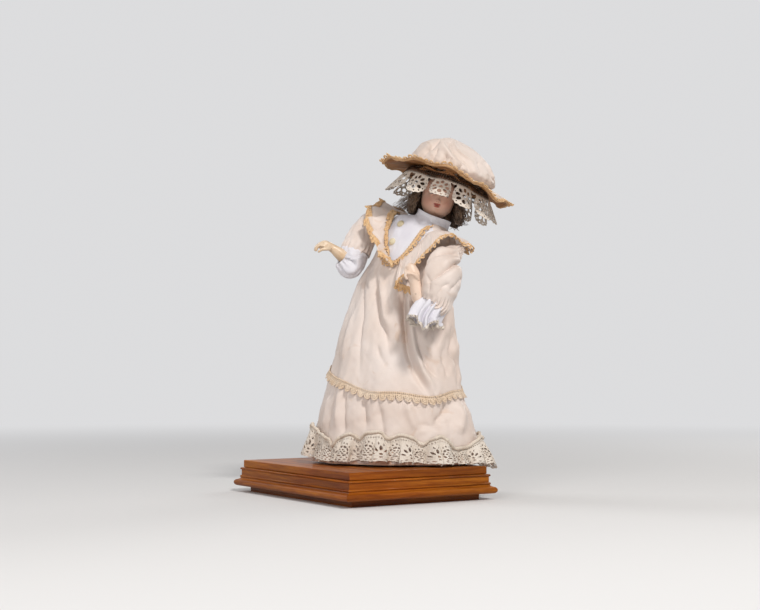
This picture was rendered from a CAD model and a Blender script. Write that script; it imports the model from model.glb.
"""The clockwork doll automaton, dressed: cloth, lace, hair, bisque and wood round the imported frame.

Lengths are metres in the row frame. Cloth is laid out in the figure's own frame, in millimetres, in
which +X is the viewer's right, -Y is the viewer's side, and heights are measured from the floor.
"""

import math
import random

import bpy
import numpy as np
from mathutils import Matrix, Vector


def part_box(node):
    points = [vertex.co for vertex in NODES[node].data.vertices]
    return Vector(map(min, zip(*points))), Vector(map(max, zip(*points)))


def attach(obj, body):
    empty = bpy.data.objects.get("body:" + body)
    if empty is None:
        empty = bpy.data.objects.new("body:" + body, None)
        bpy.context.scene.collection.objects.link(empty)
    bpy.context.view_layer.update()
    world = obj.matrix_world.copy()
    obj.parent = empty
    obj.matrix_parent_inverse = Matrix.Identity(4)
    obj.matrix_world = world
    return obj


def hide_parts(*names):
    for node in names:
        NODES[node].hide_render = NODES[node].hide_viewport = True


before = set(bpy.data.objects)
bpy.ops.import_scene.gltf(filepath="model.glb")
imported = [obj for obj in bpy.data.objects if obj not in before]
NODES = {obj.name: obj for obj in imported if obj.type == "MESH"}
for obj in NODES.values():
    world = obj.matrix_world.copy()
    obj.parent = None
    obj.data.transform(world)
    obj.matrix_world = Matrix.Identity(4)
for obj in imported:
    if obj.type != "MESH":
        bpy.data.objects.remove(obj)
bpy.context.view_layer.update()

MM = 0.001
TAU = 2 * math.pi
FIGURE_TURN = math.radians(57.2)  # the figure faces the camera, turned by this from the base's front


# Shader nodes

def feed(tree, value, socket):
    """Link a socket from another, or set its value."""
    if isinstance(value, bpy.types.NodeSocket):
        tree.links.new(value, socket)
    else:
        socket.default_value = value


def add_node(tree, kind, inputs=None, **settings):
    made = tree.nodes.new("ShaderNode" + kind)
    for key, value in settings.items():
        setattr(made, key, value)
    for key, value in (inputs or {}).items():
        feed(tree, value, made.inputs[key])
    return made


def rgb(red, green, blue):
    """A linear colour from the 0 to 255 values of a screen colour."""
    def linear(value):
        value /= 255
        return value / 12.92 if value <= 0.04045 else ((value + 0.055) / 1.055) ** 2.4
    return linear(red), linear(green), linear(blue), 1.0


def darker(colour, share):
    return (*(share * channel for channel in colour[:3]), 1)


class Paint:
    """A Principled material with its nodes added by short calls."""

    def __init__(self, name, roughness=0.5, metallic=0.0, **sockets):
        self.material = bpy.data.materials.new(name)
        self.material.use_nodes = True
        self.tree = self.material.node_tree
        self.shader = self.tree.nodes["Principled BSDF"]
        for socket, value in {"Roughness": roughness, "Metallic": metallic, **sockets}.items():
            self.shader.inputs[socket.replace("_", " ")].default_value = value
        self.last_bump = None

    def add(self, kind, inputs=None, **settings):
        return add_node(self.tree, kind, inputs, **settings)

    def coords(self, kind="Object", scale=(1, 1, 1), turn=(0, 0, 0)):
        source = self.add("TexCoord").outputs[kind]
        return self.add("Mapping", {"Vector": source, "Scale": scale, "Rotation": turn}).outputs[0]

    def noise(self, scale, coords=None, detail=3.0, distortion=0.0, roughness=0.5):
        return self.add("TexNoise", {"Vector": coords or self.coords(), "Scale": scale, "Detail": detail,
                                     "Roughness": roughness, "Distortion": distortion}).outputs["Fac"]

    def level(self, value, low, high):
        """The value stretched so that low becomes 0 and high becomes 1."""
        return self.add("MapRange", {"Value": value, "From Min": low, "From Max": high}).outputs[0]

    def patches(self, scale, low, high, detail=4, distortion=0.0):
        """Soft patches of 0 and 1 all over the surface."""
        return self.level(self.noise(scale, None, detail, distortion), low, high)

    def ramp(self, value, *stops):
        made = self.add("ValToRGB", {"Fac": value})
        elements = made.color_ramp.elements
        while len(elements) < len(stops):
            elements.new(0.5)
        for element, (place, colour) in zip(elements, stops):
            element.position = place
            element.color = colour
        return made.outputs[0]

    def times(self, first, second):
        return self.add("Math", {0: first, 1: second}, operation="MULTIPLY").outputs[0]

    def length(self, vector):
        return self.add("VectorMath", {0: vector}, operation="LENGTH").outputs["Value"]

    def mix(self, factor, first, second, how="MIX"):
        return self.add("Mix", {0: factor, 6: first, 7: second}, data_type="RGBA", blend_type=how).outputs[2]

    def colour(self, value):
        feed(self.tree, value, self.shader.inputs["Base Color"])
        return self

    def rough(self, value, low, high):
        made = self.add("MapRange", {"Value": value, "To Min": low, "To Max": high})
        feed(self.tree, made.outputs[0], self.shader.inputs["Roughness"])
        return self

    def bump(self, height, distance, strength=1.0):
        """One more layer of relief over those before it."""
        inputs = {"Height": height, "Distance": distance, "Strength": strength}
        if self.last_bump is not None:
            inputs["Normal"] = self.last_bump
        self.last_bump = self.add("Bump", inputs).outputs[0]
        feed(self.tree, self.last_bump, self.shader.inputs["Normal"])
        return self


# Camera, floor and light

FLOOR_REACH = 9.0
BACKDROP = (0.72, 0.72, 0.73, 1)
AIM = Vector((0.02, 0.03, 0.25))
# Name, place, size, power in watts and colour
LAMPS = [
    ("key_light", (1.75, -0.15, 1.85), 0.32, 35, (1.0, 0.985, 0.965)),
    ("fill_light", (1.15, -1.75, 0.9), 0.8, 13, (1.0, 0.975, 0.95)),
    ("side_light", (-0.4, 1.9, 1.0), 0.9, 8, (1.0, 0.98, 0.95)),
    ("back_light", (-1.4, -1.0, 1.5), 0.9, 10, (0.97, 0.98, 1.0)),
]


def link_object(name, data):
    made = bpy.data.objects.new(name, data)
    bpy.context.scene.collection.objects.link(made)
    return made


def build_camera():
    lens = bpy.data.cameras.new("camera")
    lens.lens = 66.46
    lens.sensor_width = 36
    lens.clip_start = 0.05
    camera = link_object("camera", lens)
    camera.location = (1.6437, -1.0287, 0.1775)
    camera.rotation_euler = (math.radians(92.49), 0, FIGURE_TURN)
    bpy.context.scene.camera = camera
    bpy.context.scene.view_settings.view_transform = "Standard"


def build_floor():
    """Matt paper that fades into the backdrop with distance, as the camera sees it."""
    mesh = bpy.data.meshes.new("floor")
    corners = [(x * FLOOR_REACH, y * FLOOR_REACH, 0) for x, y in ((-1, -1), (1, -1), (1, 1), (-1, 1))]
    mesh.from_pydata(corners, [], [(0, 1, 2, 3)])
    link_object("floor", mesh)
    paint = Paint("floor_paint", 0.9).colour((0.74, 0.73, 0.72, 1))
    distance = paint.length(paint.add("TexCoord").outputs["Object"])
    away = paint.add("MapRange", {"Value": distance, "From Min": 0.5, "From Max": 2.6},
                     interpolation_type="SMOOTHSTEP").outputs[0]
    faded = paint.times(away, paint.add("LightPath").outputs["Is Camera Ray"])
    far = paint.add("Emission", {"Color": BACKDROP}).outputs[0]
    blend = paint.add("MixShader", {0: faded, 1: paint.shader.outputs[0], 2: far}).outputs[0]
    feed(paint.tree, blend, paint.tree.nodes["Material Output"].inputs["Surface"])
    mesh.materials.append(paint.material)


def build_world():
    """A dim sky for light, which the camera and reflections see as the pale backdrop."""
    world = bpy.data.worlds.new("studio")
    bpy.context.scene.world = world
    world.use_nodes = True
    tree = world.node_tree
    sky = tree.nodes["Background"]
    sky.inputs["Color"].default_value = (0.80, 0.80, 0.82, 1)
    sky.inputs["Strength"].default_value = 0.30
    seen = add_node(tree, "Background", {"Color": BACKDROP, "Strength": 1.0})
    path = add_node(tree, "LightPath").outputs
    either = add_node(tree, "Math", {0: path["Is Camera Ray"], 1: path["Is Glossy Ray"]}, operation="MAXIMUM")
    choose = add_node(tree, "MixShader", {0: either.outputs[0], 1: sky.outputs[0], 2: seen.outputs[0]})
    feed(tree, choose.outputs[0], tree.nodes["World Output"].inputs["Surface"])


def build_lamps():
    for name, place, size, power, colour in LAMPS:
        lamp = bpy.data.lights.new(name, "AREA")
        lamp.size, lamp.energy, lamp.color = size, power, colour
        made = link_object(name, lamp)
        made.location = place
        made.rotation_euler = (AIM - Vector(place)).to_track_quat("-Z", "Y").to_euler()


build_camera()
build_floor()
build_world()
build_lamps()


# Materials

def weave(paint, pitch, depth, strength=0.5):
    """Plain weave, laid by UVs that are in metres."""
    coords, ripple = paint.coords("UV"), 0.314 / pitch
    warp, weft = (paint.add("TexWave", {"Vector": coords, "Scale": scale, "Distortion": 0.6, "Detail": 1.0,
                                        "Detail Scale": 0.4}, bands_direction=way).outputs["Fac"]
                  for way, scale in (("X", ripple), ("Y", ripple * 1.07)))
    return paint.bump(paint.times(warp, weft), depth, strength)


def silk(name, light, dark, stain, sheen=0.08, slub=1.0, gloss=0.28):
    """Aged taffeta: slubbed weft, faint stains and a low sheen."""
    paint = Paint(name, 0.5, Sheen_Weight=sheen, Sheen_Roughness=0.45, Specular_IOR_Level=gloss)
    cloudy = paint.patches(14, 0.35, 0.68)
    threads = paint.noise(1.0, paint.coords("UV", (60, 1500, 1)), 2)
    ends = paint.noise(1.0, paint.coords("UV", (1300, 45, 1)), 2)
    tone = paint.mix(cloudy, dark, light)
    warmer = paint.mix(0.5, tone, (1, 0.97, 0.93, 1), "MULTIPLY")
    tone = paint.mix(paint.level(threads, 0.45, 0.75), tone, warmer)
    tone = paint.mix(paint.times(paint.patches(38, 0.60, 0.74, 5, 1.2), 0.55), tone, stain)
    paint.colour(tone).rough(cloudy, 0.42, 0.58)
    paint.bump(threads, 0.00012 * slub, 0.5).bump(ends, 0.00008 * slub, 0.4)
    paint.bump(paint.noise(90, None, 3, 0.8), 0.0007, 0.35)
    return weave(paint, 0.0007, 0.00008, 0.4).material


def cotton(name, light, dark, pitch=0.0006):
    paint = Paint(name, 0.8, Sheen_Weight=0.05, Specular_IOR_Level=0.2)
    paint.colour(paint.mix(paint.patches(25, 0.35, 0.7), dark, light)).bump(paint.noise(140), 0.0004, 0.35)
    return weave(paint, pitch, 0.0001, 0.5).material


def thread(name, light, dark, knot=0.0012, seam=None):
    """Crocheted or embroidered cotton, lumpy at the scale of its knots, and dark netting above the seam."""
    paint = Paint(name, 0.85, Sheen_Weight=0.05, Specular_IOR_Level=0.15)
    lumps = paint.add("TexVoronoi", {"Vector": paint.coords(), "Scale": 1 / knot}).outputs["Distance"]
    tone = paint.mix(paint.patches(55, 0.3, 0.7), dark, light)
    tone = paint.mix(paint.times(paint.level(lumps, 0.1, 0.9), 0.4), tone, darker(dark, 0.55))
    if seam:
        down = paint.add("SeparateXYZ", {0: paint.add("TexCoord").outputs["UV"]}).outputs[1]
        tone = paint.mix(paint.level(down, seam * MM, 0.6 * seam * MM), tone, rgb(74, 52, 36))
    return paint.colour(tone).bump(lumps, 0.0005, 0.6).material


def oak(name, along, lipped=False):
    """Varnished oak; along is the grain's axis, and a lipped board has long grain on its ends as well."""
    stretch = [1.0, 1.0, 1.0]
    stretch[along] = 0.06
    paint = Paint(name, 0.4, Coat_Weight=0.16, Coat_Roughness=0.16, Specular_IOR_Level=0.1)
    coords = paint.coords("Object", stretch)
    if lipped:
        across = paint.add("SeparateXYZ", {0: paint.add("NewGeometry").outputs["True Normal"]}).outputs[0]
        end_face = paint.level(paint.add("Math", {0: across}, operation="ABSOLUTE").outputs[0], 0.6, 0.7)
        coords = paint.mix(end_face, coords, paint.coords("Object", (1, 0.06, 1), (0, 0, math.pi / 2)))
    rings = paint.add("TexWave", {"Vector": coords, "Scale": 16.0, "Distortion": 9.0, "Detail": 4.0,
                                  "Detail Scale": 1.6, "Detail Roughness": 0.65}, wave_type="RINGS",
                      rings_direction="XYZ"[along]).outputs["Fac"]
    fibre = paint.noise(340, coords, 5, 0.4, 0.7)
    fine = paint.coords("Object", [0.5 * share if share < 1 else 1 for share in stretch])
    pores = paint.level(paint.noise(900, fine, 2), 0.71, 0.78)
    base = paint.ramp(rings, (0.0, rgb(138, 77, 13)), (0.4, rgb(152, 87, 16)), (0.8, rgb(164, 97, 20)),
                      (1.0, rgb(176, 108, 27)))
    darkened = paint.mix(1.0, base, rgb(206, 186, 164), "MULTIPLY")
    base = paint.mix(paint.level(fibre, 0.38, 0.62), darkened, base)
    reddened = paint.mix(1.0, base, rgb(244, 222, 204), "MULTIPLY")
    base = paint.mix(paint.patches(9, 0.35, 0.7, 3), base, reddened)
    paint.colour(paint.mix(pores, base, rgb(58, 26, 8))).rough(fibre, 0.36, 0.52)
    return paint.bump(fibre, 0.00025, 0.35).bump(pores, 0.0002, 0.3).material


def metal(name, colour, worn, roughness):
    paint = Paint(name, roughness, 1.0)
    fine = paint.noise(420, paint.coords("Object", (1, 0.15, 1)), 4)
    paint.colour(paint.mix(paint.patches(60, 0.4, 0.7), colour, worn))
    return paint.rough(fine, roughness - 0.08, roughness + 0.18).bump(fine, 0.00006, 0.4).material


OAK_X, OAK_Y = oak("oak_along_x", 0), oak("oak_along_y", 1)
OAK_TOP = oak("oak_top_board", 0, lipped=True)
DARK_WOOD = oak("dark_oak", 0, lipped=True)
BRASS = metal("aged_brass", rgb(205, 165, 90), rgb(150, 110, 58), 0.32)
STEEL = metal("blued_steel", rgb(150, 150, 155), rgb(105, 100, 98), 0.36)
SILK = silk("gown_silk", rgb(228, 216, 209), rgb(217, 200, 189), rgb(206, 178, 156))
HAT_SILK = silk("hat_silk", rgb(224, 210, 201), rgb(206, 188, 175), rgb(182, 158, 138), slub=1.4)
UNDER_BRIM = silk("brim_lining", rgb(170, 122, 80), rgb(132, 88, 52), rgb(100, 62, 34), 0.0, 1.4, 0.08)
PETTICOAT = silk("petticoat_cloth", rgb(236, 206, 184), rgb(222, 184, 158), rgb(196, 146, 114))
COTTON = cotton("white_lawn", rgb(231, 229, 233), rgb(215, 212, 219))
GOLD_LACE = thread("gold_lace", rgb(242, 209, 166), rgb(222, 178, 128))
BAND_LACE = thread("band_lace", rgb(240, 221, 200), rgb(226, 198, 168))
BRIM_CORD = thread("brim_cord", rgb(212, 172, 130), rgb(178, 134, 92))
IVORY_LACE = thread("ivory_lace", rgb(241, 231, 219), rgb(224, 211, 196), 0.0009)
HAT_LACE = thread("hat_lace_thread", rgb(241, 231, 219), rgb(224, 211, 196), 0.0009, seam=10.5)
CORD = thread("hem_cord", rgb(238, 226, 211), rgb(216, 200, 182), 0.0010)
BUTTON_CLOTH = cotton("button_cloth", rgb(226, 216, 190), rgb(206, 192, 160), 0.0005)


def dress_nodes():
    """Give the carried-over CAD nodes their finished materials."""
    motions = ("right_arm", "head_turn", "head_nod", "left_arm")
    finish = {
        BRASS: ["movement_front_plate", "movement_rear_plate", "spring_barrel", "winding_wheel", "camshaft",
                "cam_wheel", "second_wheel", "winding_key", "stop_lever"],
        STEEL: ["barrel_arbor", "second_arbor", "fly_arbor", "winding_arbor", "mainspring", "lever_shaft",
                "stop_lever_pin", "figure_post", "neck_yoke", "right_arm", "left_arm",
                *(motion + part for motion in motions for part in ("_lever", "_rod"))],
        OAK_X: ["frame_front", "frame_rear", "moulding_front", "moulding_rear"],
        OAK_Y: ["frame_left", "frame_right", "moulding_left", "moulding_right"],
        OAK_TOP: ["top_board"],
        DARK_WOOD: ["plinth_tray"],
    }
    for material, names in finish.items():
        for name in names:
            for material_slot in NODES[name].material_slots:
                material_slot.material = material


dress_nodes()


# Building cloth and other surfaces

TO_BASE = Matrix.Translation((0.026, 0.040, 0)) @ Matrix.Rotation(FIGURE_TURN, 4, "Z")
TO_BASE_TURN = np.array(TO_BASE.to_3x3())
TO_BASE_SHIFT = np.array(TO_BASE.translation)


def mesh_object(name, points, faces, materials, uvs=None, face_materials=None):
    """A mesh object from points in figure millimetres and UVs in millimetres."""
    points = np.asarray(points, dtype=float).reshape(-1, 3) * MM
    points = points @ TO_BASE_TURN.T + TO_BASE_SHIFT
    mesh = bpy.data.meshes.new(name)
    mesh.from_pydata(points.tolist(), [], [list(face) for face in faces])
    for material in materials:
        mesh.materials.append(material)
    if face_materials is not None:
        mesh.polygons.foreach_set("material_index", np.asarray(face_materials, dtype=np.int32))
    layer = mesh.uv_layers.new(name="UVMap")
    corner = np.zeros(len(mesh.loops), dtype=np.int32)
    mesh.loops.foreach_get("vertex_index", corner)
    flat = points[:, :2] if uvs is None else np.asarray(uvs, dtype=float).reshape(-1, 2) * MM
    layer.data.foreach_set("uv", flat[corner].ravel())
    mesh.polygons.foreach_set("use_smooth", np.ones(len(mesh.polygons), dtype=bool))
    mesh.update()
    return link_object(name, mesh)


def piece(name, points, faces, material, uvs=None, thickness=0.0, outward=0.0, body="root", node=None):
    """A mesh object that rides a body, and stands for a node of the CAD where it is given."""
    made = mesh_object(name, points, faces, [material], uvs)
    if thickness:
        solid = made.modifiers.new("cloth", "SOLIDIFY")
        solid.thickness = thickness * MM
        solid.offset = outward
    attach(made, body)
    if node:
        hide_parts(node)


def cloth(name, points, material, uvs, thickness=0.8, outward=-1, body="root", node=None):
    """A piece from rows and columns of points."""
    piece(name, points, grid_faces(*points.shape[:2]), material, uvs, thickness, outward, body, node)


def tube(name, line, radii, sides, material, body="root"):
    faces = grid_faces(len(line), sides, closed=True)
    piece(name, tube_points(line, radii, sides), faces, material, body=body)


def grid(rows, columns, top=1.0, across=(-180, 180)):
    """Two arrays: one runs across the columns, and one from 0 to top over the rows."""
    return np.meshgrid(np.linspace(*across, columns), np.linspace(0, top, rows))


def stacked(*columns):
    return np.stack(np.broadcast_arrays(*columns), -1)


def cosd(degrees):
    return np.cos(np.radians(degrees))


def sind(degrees):
    return np.sin(np.radians(degrees))


def unit(vectors):
    return vectors / np.linalg.norm(vectors, axis=-1, keepdims=True)


def bell(away, width):
    return np.exp(-(away / width) ** 2)


def repeat(value, period):
    """The value's distance from the nearest whole number of periods."""
    return (value + period / 2) % period - period / 2


def grid_faces(rows, columns, closed=False):
    across = columns if closed else columns - 1
    first = (np.arange(rows - 1)[:, None] * columns + np.arange(across)[None, :]).ravel()
    step = ((np.arange(across) + 1) % columns - np.arange(across))[None, :].repeat(rows - 1, 0).ravel()
    return np.stack([first, first + step, first + step + columns, first + columns], 1)


def catmull(values, position):
    """The smooth curve through evenly spaced values, at an array of positions."""
    values = np.asarray(values, dtype=float)
    position = np.clip(np.asarray(position, dtype=float), 0, len(values) - 1)
    index = np.minimum(position.astype(int), len(values) - 2)
    t = position - index
    if values.ndim > 1:
        t = t[..., None]
    before, first = values[np.maximum(index - 1, 0)], values[index]
    second, after = values[index + 1], values[np.minimum(index + 2, len(values) - 1)]
    return 0.5 * (2 * first + (second - before) * t + (2 * before - 5 * first + 4 * second - after) * t ** 2
                  + (3 * first - before - 3 * second + after) * t ** 3)


def waver(points, size, seed=0, octaves=3):
    """Smooth seeded noise between about -1 and 1 over an array of points in millimetres."""
    points = np.asarray(points, dtype=float) / size
    rng = np.random.default_rng(seed)
    total, strength = np.zeros(points.shape[:-1]), 1.0
    for _ in range(octaves):
        for _ in range(5):
            way = rng.normal(size=points.shape[-1])
            way *= rng.uniform(2.2, 5.2) / np.linalg.norm(way)
            total += strength * np.sin(points @ way + rng.uniform(0, TAU)) / 3
        points, strength = points * 2.1, strength * 0.5
    return total


def along_route(across, up, route):
    """Signed distance of each point from a route in the same plane, and how far along it is."""
    route = catmull(route, np.linspace(0, len(route) - 1, 4 * len(route)))
    lengths = np.hypot(*(route[1:] - route[:-1]).T)
    whole, done = lengths.sum(), 0.0
    near, share = np.full(across.shape, 1e6), np.zeros(across.shape)
    for (x, y), (x2, y2), length in zip(route[:-1], route[1:], lengths):
        dx, dy = x2 - x, y2 - y
        t = np.clip(((across - x) * dx + (up - y) * dy) / (dx * dx + dy * dy + 1e-9), 0, 1)
        distance = np.hypot(x + t * dx - across, y + t * dy - up)
        closer = distance < np.abs(near)
        side = np.where(dx * (up - y) - dy * (across - x) > 0, 1.0, -1.0)
        near = np.where(closer, side * distance, near)
        share = np.where(closer, (done + t * length) / whole, share)
        done += length
    return near, share


def crease(near, left, right, height):
    """A fold's profile across its line: a ridge is round, and a valley is sharp at its bottom."""
    away = np.abs(near / np.where(near < 0, left, right))
    return np.exp(-away ** 2) if height > 0 else np.exp(-away ** 1.05) * np.clip(3.2 - away, 0, 1)


def pleat(near, left, _right, _height):
    """A profile that steps from a ridge to a valley."""
    return (near / left) * bell(near, left) * 2.2 * np.where(near < 0, 1.0, 0.75)


def fold(across, up, route, height, left, right, taper=4, least=0.15, profile=crease):
    """A fold's height over laid-out cloth; it dies away beside its route and towards the ends."""
    near, share = along_route(across, up, route)
    ends = np.clip(np.minimum(share, 1 - share) * taper + least, 0, 1)
    return height * ends * profile(near, left, right, height)


# The gown's surface: stations are x, height, lean, half width, half depth and twist

GOWN_STATIONS = [
    (0, 48, 0, 113, 81, -13), (0, 85, 0, 111, 79, -13), (-1, 148, 0, 95, 67, -14), (2, 213, 3, 79, 55, -16),
    (10, 270, 10, 66, 46, -20), (24, 318, 18, 57, 42, -25), (35, 350, 23, 56, 37, -29),
    (42, 368, 25, 47, 29, -30), (50, 377, 25, 21, 19, -30)]
HEIGHTS = [station[1] for station in GOWN_STATIONS]
MM_PER_DEGREE = 1.6

# Folds: height, width to either side, then (degrees, level) points from the top down
PLEATS = [(6.0, 7, 7, [(8.4, 4.6), (16.4, 4.04), (20.8, 3.37), (24.8, 2.8), (30.9, 2.37), (40.1, 1.9)])]
FOLDS = [
    (-4.5, 7, 9, [(-33.7, 4.46), (-19.3, 3.88), (-12.3, 3.54), (-2.4, 3.15), (4, 2.7)]),
    (3.5, 6, 8, [(-26, 4.5), (-12, 3.9), (-5, 3.5), (4, 3.1)]),
    (-3.5, 3.5, 9, [(30, 3.2), (33, 2.8), (40, 2.4), (52, 2.15)]),
    (-2.5, 5, 5, [(-74, 4.5), (-40.9, 3.84), (-30.4, 3.02), (-23.8, 2.26)]),
    (-4.0, 5, 7, [(68.3, 3.74), (49, 3.3), (38.2, 3.04)]),
    (2.5, 6, 8, [(76, 3.6), (60, 3.05), (50, 2.7)]),
    (-3.5, 6, 6, [(92, 3.51), (72.2, 2.83), (81.6, 2.49), (73.1, 2.0)]),
    (-3.5, 3, 5, [(-36.4, 2.05), (-34.7, 1.64), (-32.4, 1.22), (-31, 0.8)]),
    (2.0, 5, 5, [(-41, 2.05), (-39.5, 1.6), (-37, 1.2)]),
    (-4.0, 5, 7, [(-3.6, 1.7), (-1.9, 1.45), (-0.5, 1.18), (1, 0.8)]),
    (-3.5, 5, 5, [(-17.4, 1.8), (-15, 1.5), (-13.1, 1.17)]),
    (-5.0, 7, 7, [(59, 1.69), (48.5, 1.49), (36.2, 1.23)]),
    (4.0, 7, 8, [(68, 1.75), (64.9, 1.38), (58.3, 1.04)]),
    (3.0, 6, 6, [(18, 1.75), (20, 1.45), (24, 1.15)]),
    (2.5, 10, 10, [(-55, 3.6), (-52, 3.0), (-50, 2.5)]),
    (3.0, 8, 10, [(-62, 1.9), (-60, 1.5), (-58, 1.1)]),
    (2.0, 9, 9, [(0, 4.4), (3, 3.9), (9, 3.4), (12, 2.9)]),
    (-2.0, 4, 4, [(36, 4.4), (30, 4.0), (24, 3.7)]),
    (-1.8, 3, 4, [(-10, 2.9), (-4, 2.6), (6, 2.35)]),
    (-1.5, 3, 3, [(-52, 4.3), (-44, 4.15), (-34, 4.05)]),
    (-1.5, 3, 4, [(56, 2.7), (60, 2.5), (62, 2.2)]),
    (4.4, 24, 26, [(86, 4.5), (87, 3.6), (86, 2.5)]),
    (-3.2, 18, 18, [(88, 2.2), (90, 1.5)]),
    (2.2, 26, 26, [(-86, 4.8), (-87, 2.7)]),
    (-1.6, 2.2, 4, [(-50, 2.0), (-49, 1.5), (-50, 0.9)]),
    (-1.8, 3, 5, [(20, 1.3), (40, 1.22), (56, 1.35)]),
]
for number, degrees in enumerate(range(104, 240, 13)):
    deep = 3.0 + 1.5 * math.sin(number * 2.3)
    FOLDS.append((-deep, 6, 7, [(degrees + 4 * math.sin(number), 4.6), (degrees + 3, 3.2), (degrees, 2.3),
                                (degrees - 3, 1.2), (degrees - 4, 0.3)]))


def unrolled(degrees, levels):
    """Across and up the laid-out cloth, in millimetres."""
    degrees = np.asarray(degrees, dtype=float)
    return degrees * MM_PER_DEGREE, np.interp(levels, range(len(HEIGHTS)), HEIGHTS)


def gown_folds(degrees, levels):
    """How far the cloth stands out of the plain form, in millimetres."""
    degrees = (np.asarray(degrees, dtype=float) + 112) % 360 - 112
    across, up = unrolled(degrees, levels)
    out = np.zeros(across.shape)
    for profile, folds in ((pleat, PLEATS), (crease, FOLDS)):
        for height, left, right, route in folds:
            line = stacked(*unrolled(*zip(*route)))
            out += 1.7 * fold(across, up, line, height, left, right, 3.5, profile=profile)
    spots = stacked(across, up)
    out += 0.8 * waver(spots, 42, 3) + 0.35 * waver(spots, 14, 4)
    return out * np.clip(1.6 - 0.32 * np.maximum(np.asarray(levels, dtype=float) - 3, 0), 0.15, 1)


def gown_points(degrees, levels, offset=0.0, drop=0.0, folds=0.0):
    """Points on the gown in figure millimetres; the arrays broadcast together."""
    degrees, levels = np.broadcast_arrays(np.asarray(degrees, dtype=float), np.asarray(levels, dtype=float))
    x, z, lean, width, depth, twist = np.moveaxis(catmull(GOWN_STATIONS, levels), -1, 0)
    angle = np.radians(degrees)
    fade = np.maximum(0, 1 - levels / 5.2) ** 0.7
    reach = offset + 2.6 * fade * (np.cos(9 * angle) + 0.5 * np.cos(4 * angle + 1)) + folds
    side, front, up = (width + reach) * np.sin(angle), -(depth + reach) * np.cos(angle), -np.asarray(drop)
    turned_x = side * cosd(twist) - front * sind(twist)
    turned_y = side * sind(twist) + front * cosd(twist)
    return stacked(x + turned_x * cosd(lean) + up * sind(lean), turned_y,
                   z - turned_x * sind(lean) + up * cosd(lean))


def draped_points(degrees, levels, offset):
    """Points on the gown with its folds."""
    return gown_points(degrees, levels, offset, folds=gown_folds(degrees, levels))


def build_gown():
    at, level = grid(210, 481, top=8)
    cloth("gown_cloth", draped_points(at, level, 0.4), SILK, stacked(*unrolled(at, level)), node="gown")


# Lace: a pattern's field is millimetres inside the thread, and cut out where it is negative

def lace(name, pattern, length, depth, cell, place, material, thickness=0.9, cords=0.5,
         body="root", node=None):
    """Openwork over a length by depth strip, clipped by triangles and laid by place(s, t, lift)."""
    columns, rows = max(2, round(length / cell)) + 1, max(2, round(depth / cell)) + 1
    s, t = np.meshgrid(np.linspace(0, length, columns), np.linspace(0, depth, rows))
    field = pattern(s, t)
    s, t, field = s.ravel(), t.ravel(), field.ravel()
    kept, cuts, faces, spots = {}, {}, [], []

    def corner(index):
        if index not in kept:
            kept[index] = len(spots)
            spots.append((s[index], t[index]))
        return kept[index]

    def crossing(first, second):
        key = (min(first, second), max(first, second))
        if key not in cuts:
            share = field[first] / (field[first] - field[second])
            cuts[key] = len(spots)
            spots.append(tuple(v[first] + share * (v[second] - v[first]) for v in (s, t)))
        return cuts[key]

    for quad in grid_faces(rows, columns):
        a, b, c, d = (int(q) for q in quad)
        if min(field[a], field[b], field[c], field[d]) > 0:
            faces.append([corner(a), corner(b), corner(c), corner(d)])
            continue
        for triangle in ((a, b, c), (a, c, d)):
            if max(field[q] for q in triangle) <= 0:
                continue
            outline = []
            for k, here in enumerate(triangle):
                following = triangle[(k + 1) % 3]
                if field[here] > 0:
                    outline.append(corner(here))
                if (field[here] > 0) != (field[following] > 0):
                    outline.append(crossing(here, following))
            if len(outline) > 2:
                faces.append(outline)
    spots = np.array(spots)
    inside = pattern(spots[:, 0], spots[:, 1])
    lift = cords * bell(inside - 0.45, 0.4)
    piece(name, place(spots[:, 0], spots[:, 1], lift), faces, material, spots, thickness, 1, body, node)


def oval(s, t, middle_s, middle_t, half_s, half_t, turn=0.0):
    """Millimetres outside an oval, about: negative within it."""
    c, k = math.cos(turn), math.sin(turn)
    x, y = s - middle_s, t - middle_t
    x, y = x * c + y * k, y * c - x * k
    return (np.hypot(x / half_s, y / half_t) - 1) * min(half_s, half_t)


def rosette(s, t, radius, petals, hole, length=1.6):
    """Field with a ring of petal-shaped holes round the origin and one in its middle."""
    reach, angle = np.hypot(s, t), np.arctan2(t, s)
    nearest = repeat(angle, TAU / petals)
    x, y = reach * np.cos(nearest) - radius, reach * np.sin(nearest)
    ring = (np.hypot(x / length, y) / hole - 1) * hole
    return np.minimum(ring, reach - hole)


BAND_PERIOD = 11.4
BAND_LENGTH = round(640 / BAND_PERIOD) * BAND_PERIOD
MM_PER_LEVEL = 62.0


def band_pattern(s, t):
    """Crochet band with a row of round petals hanging from it."""
    x, mesh = repeat(s, BAND_PERIOD), repeat(s, BAND_PERIOD / 4)
    braid = np.minimum(t + 0.6 * np.cos(4 * TAU * s / BAND_PERIOD) - 0.6, 5.6 - t)
    field = np.maximum(braid, 5.3 - np.hypot(x, t - 6.4))
    field = np.minimum(field, oval(mesh, t, 0, 2.6, 0.7, 0.9))
    fan = rosette(x, t - 6.8, 2.9, 9, 0.5, 1.5)
    return np.where(t > 4.6, np.minimum(field, fan), field)


def build_band():
    def place(s, t, lift):
        degrees = s / BAND_LENGTH * 360 - 180
        level = 2.19 - 0.36 * cosd(degrees - 35) + 0.03 * sind(degrees * 7) - (t - 3) / MM_PER_LEVEL
        curl = 0.5 * np.cos(TAU * s / BAND_PERIOD) * np.clip((t - 4) / 5, 0, 1)
        return draped_points(degrees, level, 2.0 + lift + np.maximum(t - 4.5, 0) * 0.3 + curl)

    lace("gown_band_lace", band_pattern, BAND_LENGTH, 12.0, 0.62, place, BAND_LACE, 1.1, 0.6,
         node="gown_band")


# Hem flounce: the rolled cord's level at degrees round the skirt, then the lace under it

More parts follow.
